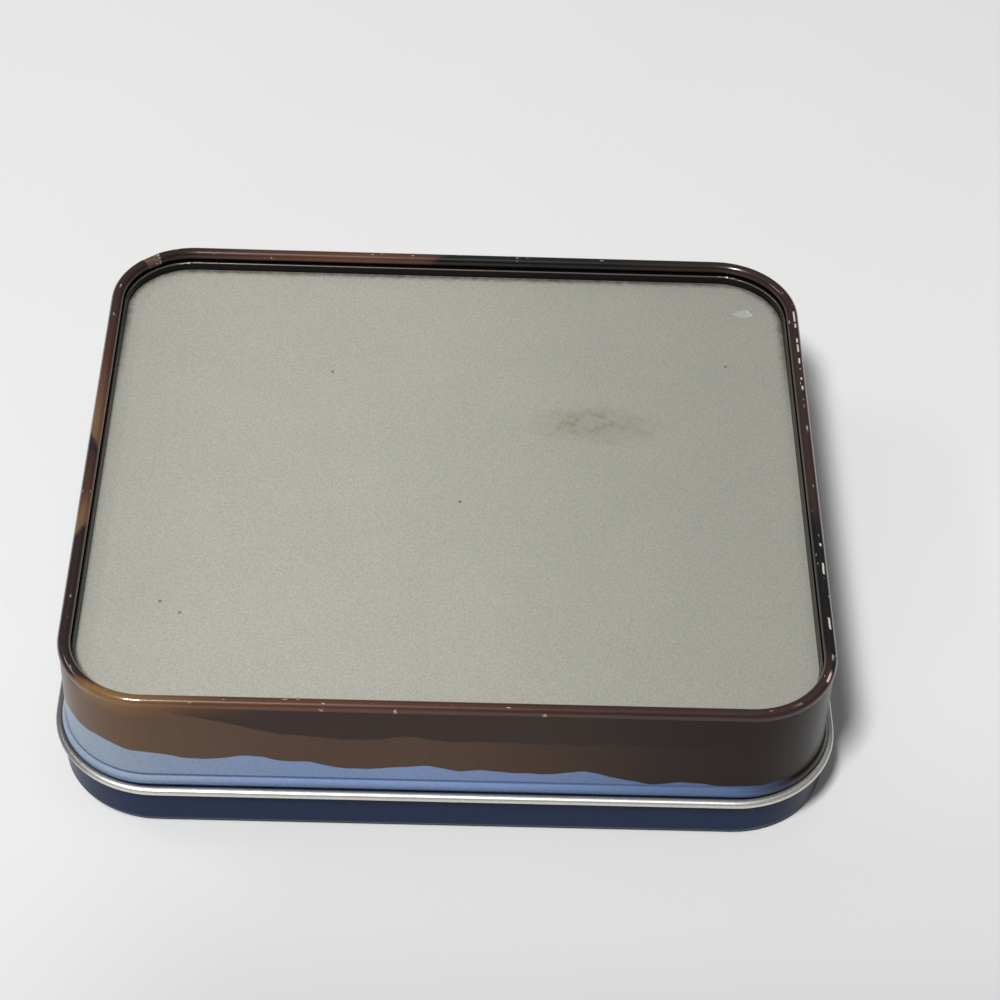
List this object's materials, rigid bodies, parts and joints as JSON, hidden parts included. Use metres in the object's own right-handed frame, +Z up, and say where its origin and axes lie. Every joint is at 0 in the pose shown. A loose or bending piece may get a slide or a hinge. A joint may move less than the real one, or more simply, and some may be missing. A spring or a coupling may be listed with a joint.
{
  "type": "slip-lid tin box",
  "caption": "Shallow rectangular tin box with rounded corners, shut and lying upside down on its slip lid, with a rolled rim round its countersunk base.",
  "frame": {"origin": "middle of the lid's face, on the surface that the shut tin lies on", "axes": "+X along the longer side, +Y along the shorter side, +Z up, from the lid to the base"},
  "size_m": [0.144, 0.13, 0.0322],
  "materials": {
    "printed_tinplate": "gloss print",
    "plain_tinplate": "dull, stained",
    "lid_lacquer": "gloss print, bare at the curl"
  },
  "bodies": {
    "root": {"body": "printed_tinplate", "base_panel": "plain_tinplate", "lid": "lid_lacquer"}
  },
  "joints": []
}
